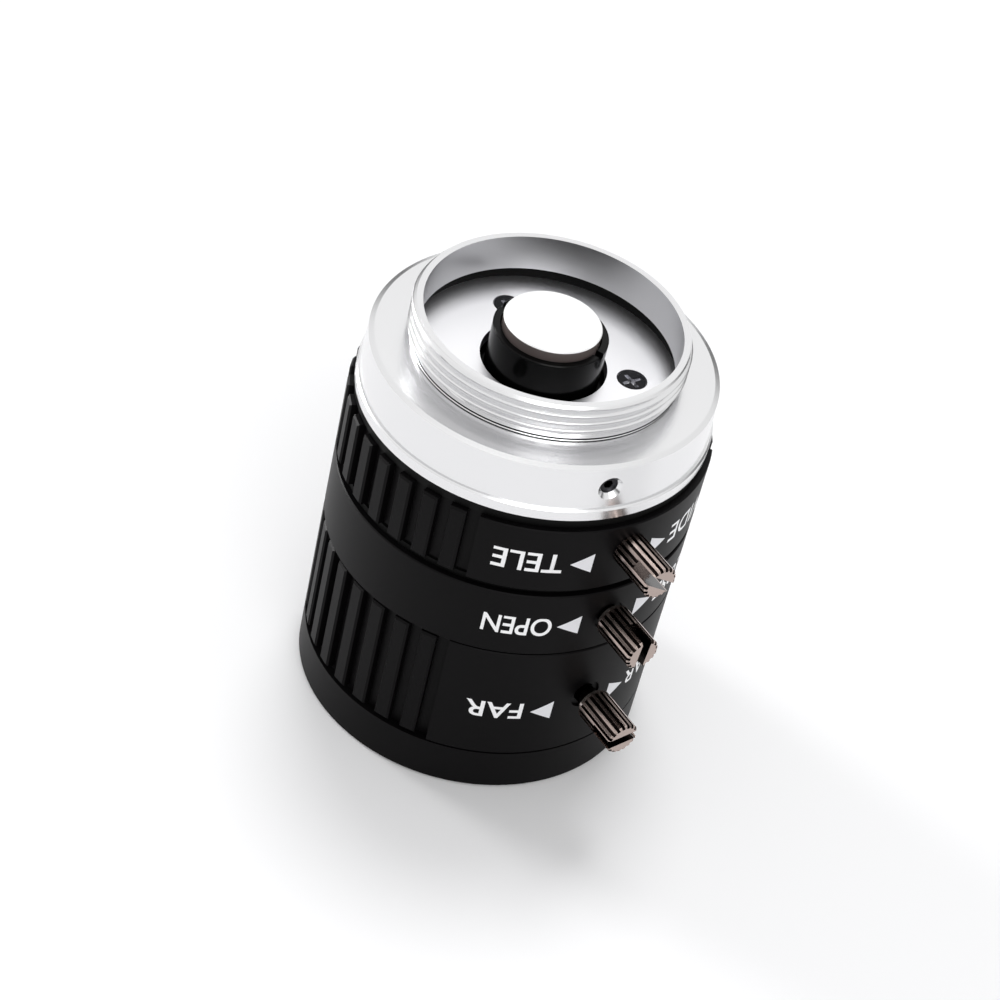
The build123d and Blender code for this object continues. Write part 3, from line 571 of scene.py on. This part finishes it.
# Spring steel of the iris blades, blackened and dry
blade_black, _ = finish_material("blackened_blade_steel", {
    "Base Color": linear("#1c1c1d"),
    "Metallic": 0.6,
    "Roughness": 0.5,
})

# Rear cell and its ring, black and glossier than the rings
gloss_black, _ = finish_material("gloss_black_enamel", {
    "Base Color": linear("#040404"),
    "Roughness": 0.2,
    "Specular IOR Level": 0.12,
})

# Optical glass with a coating that throws back a faint violet
coated_glass, _ = finish_material("coated_optical_glass", {
    "Base Color": linear("#f4f6f8"),
    "Roughness": 0.02,
    "IOR": 1.62,
    "Transmission Weight": 1.0,
    "Specular Tint": linear("#b49ae6"),
})

# Rear glass: a coated end face, painted opaque white as a reflection of the white sky
rear_face_painted_reflection, _ = finish_material("rear_face_painted_sky_reflection", {
    "Base Color": linear("#fbfbfb"),
    "Roughness": 0.12,
    "Specular IOR Level": 0.8,
})

# Its ground edge is milky with a pink cast
ground_glass, _ = finish_material("ground_edge_glass", {
    "Base Color": linear("#665d5b"),
    "Roughness": 0.25,
    "Specular IOR Level": 0.4,
})

# Filled lettering, matt white, and arrows a shade greyer
letter_white, _ = finish_material("white_filling_paint", {
    "Base Color": linear("#f4f4f5"),
    "Roughness": 0.5,
})
arrow_white, _ = finish_material("pale_grey_filling_paint", {
    "Base Color": linear("#e4e4e8"),
    "Roughness": 0.5,
})

dress(["focus_ring", "iris_ring", "zoom_ring"], anodised_black)
dress([
    "main_barrel", "ring_spacer", "focus_retaining_ring", "iris_base_plate", "iris_cover_ring",
    "iris_drive_ring", "front_cell", "front_spacer", "front_retaining_ring", "front_inner_ring",
    "rear_inner_ring", "rear_spacer_1", "rear_spacer_2",
], matt_black)
dress(["rear_cell", "rear_retaining_ring"], gloss_black)
dress(["rear_plate"], satin_plate)
# The set screw is coloured dark as painted shade in its hole
dress(["mount_set_screw"], set_screw_painted_shade)
# The plate screws' crosses carry a painted highlight
dress(["rear_plate_screws"], screw_steel_painted_cross_highlight())
# The lock screws carry painted shade in their grooves and a painted highlight on their ridges and end faces
for ring, height in LOCK_SCREW_HEIGHTS.items():
    dress([ring + "_lock_screw"], nickel_painted_shade_and_highlight(ring, height))
dress([ring + "_lock_washer" for ring in LOCK_SCREW_HEIGHTS], bright_nickel)
dress(["focus_key_pin", "iris_drive_pin", "zoom_cam_pin"], plain_steel)
dress(["iris_blade_" + str(k + 1) for k in range(6)], blade_black)
dress([group + "_lens_" + str(k + 1) for group in ("front", "rear") for k in range(3)], coated_glass)

# The mount ring's bore gets a darker copy of its aluminium and its undercut matt black, both as painted
# shade
make_mount_ring(turned_silver, blasted_bore_painted_shade, matt_black)
make_rear_glass(rear_face_painted_reflection, ground_glass)
paint_legends(letter_white, arrow_white)


# Floor, light and camera

FLOOR_REACH = 1500.0
FLOOR_GLOW = 0.05
SKY_LIGHT = 0.54

# The studio's walls as gloss sees them: grey up to one sine of elevation, white from another
WALL_TOP = 0.12
WALL_FADE = 0.42
WALL_SHADE = 0.12


def seen_by(owner, rays):
    """A socket that is 1 for the named kinds of ray and 0 for the others."""
    path = node(owner, "ShaderNodeLightPath")
    seen = path.outputs[rays[0]]
    for ray in rays[1:]:
        either = node(owner, "ShaderNodeMath", {"operation": "MAXIMUM"}, {0: seen, 1: path.outputs[ray]})
        seen = either.outputs[0]
    return seen


def show_white(material, shader):
    """Adds a little light of its own to a finish, for the camera, gloss and glass only, so that the
    open floor reads white and the shadow on it stays."""
    seen = seen_by(material, ["Is Camera Ray", "Is Glossy Ray", "Is Transmission Ray"])
    strength = node(material, "ShaderNodeMath", {"operation": "MULTIPLY", 1: FLOOR_GLOW}, {0: seen})
    shader.inputs["Emission Color"].default_value = linear("#ffffff")
    material.node_tree.links.new(strength.outputs[0], shader.inputs["Emission Strength"])


def make_floor():
    """A pale floor under the front rim: x and y from edge to edge of a square."""
    side = np.linspace(-FLOOR_REACH, FLOOR_REACH, 3)
    x, y = np.meshgrid(side, side)
    floor = grid_object("floor", np.stack([x, y, np.full_like(x, z_of(0))], axis=-1))
    paper, paper_shader = finish_material("white_paper_floor", {
        "Base Color": linear("#f2f2f3"),
        "Roughness": 0.8,
        "Specular IOR Level": 0.1,
    })
    show_white(paper, paper_shader)
    floor.data.materials.append(paper)


def studio_lamp(name, place, strength, spread):
    """A soft lamp that shines from a place far out along this direction to the origin. Strength is in
    watts on a square metre that faces it, and spread is how wide it looks, in degrees."""
    light = bpy.data.lights.new(name, "SUN")
    light.energy = strength
    light.angle = radians(spread)
    lamp = bpy.data.objects.new(name, light)
    bpy.context.scene.collection.objects.link(lamp)
    start = np.array(place, dtype=float)
    back = start / np.linalg.norm(start)
    side = np.cross((0, 0, 1), back)
    side = side / np.linalg.norm(side)
    up = np.cross(back, side)
    lamp.matrix_world = Matrix(np.vstack([np.column_stack([side, up, back, start]), [0, 0, 0, 1]]).tolist())


def make_world():
    """White for the camera, gloss and glass, and softer white as light. Gloss sees the studio's grey
    walls up to a little above the horizon, so that the bright metal keeps its edges."""
    world = bpy.data.worlds.new("studio")
    bpy.context.scene.world = world
    world.use_nodes = True
    world.node_tree.nodes.clear()
    place = node(world, "ShaderNodeTexCoord")
    height = node(world, "ShaderNodeSeparateXYZ", {}, {"Vector": place.outputs["Generated"]})
    wall = node(
        world,
        "ShaderNodeMapRange",
        {
            "interpolation_type": "SMOOTHSTEP",
            "From Min": WALL_TOP,
            "From Max": WALL_FADE,
            "To Min": WALL_SHADE,
        },
        {"Value": height.outputs["Z"]},
    )
    straight = seen_by(world, ["Is Camera Ray", "Is Transmission Ray"])
    shade = node(
        world, "ShaderNodeMath", {"operation": "MAXIMUM"}, {0: wall.outputs["Result"], 1: straight}
    )
    light = node(world, "ShaderNodeBackground", {"Color": linear("#ffffff"), "Strength": SKY_LIGHT})
    white = node(
        world, "ShaderNodeBackground", {"Color": linear("#ffffff")}, {"Strength": shade.outputs[0]}
    )
    mix = node(
        world,
        "ShaderNodeMixShader",
        {},
        {
            0: seen_by(world, ["Is Camera Ray", "Is Glossy Ray", "Is Transmission Ray"]),
            1: light.outputs[0],
            2: white.outputs[0],
        },
    )
    node(world, "ShaderNodeOutputWorld", {}, {"Surface": mix.outputs[0]})


def make_camera():
    """The photograph's camera, whose place and axes were fitted to the circles of the rings."""
    data = bpy.data.cameras.new("camera")
    data.lens = 89.58
    data.sensor_width = 36
    data.clip_start = 0.01
    camera = bpy.data.objects.new("camera", data)
    bpy.context.scene.collection.objects.link(camera)
    right = np.array([0.82629, -0.53165, 0.1858])
    down = np.array([-0.23883, -0.62960, -0.7393])
    forward = np.array([0.51008, 0.56650, -0.6472])
    place = np.array([-0.119738, -0.131893, 0.132943])
    axes = np.column_stack([right, -down, -forward, place])
    camera.matrix_world = Matrix(np.vstack([axes, [0, 0, 0, 1]]).tolist())
    bpy.context.scene.camera = camera


make_floor()
make_world()
make_camera()
studio_lamp("back", (0.13, 0.16, 0.46), 1.15, 22)
studio_lamp("side", (-0.17, 0.4, 0.055), 3.4, 16)
studio_lamp("front", (-0.16, -0.4, 0.42), 0.75, 38)
bpy.context.scene.view_settings.view_transform = "Standard"
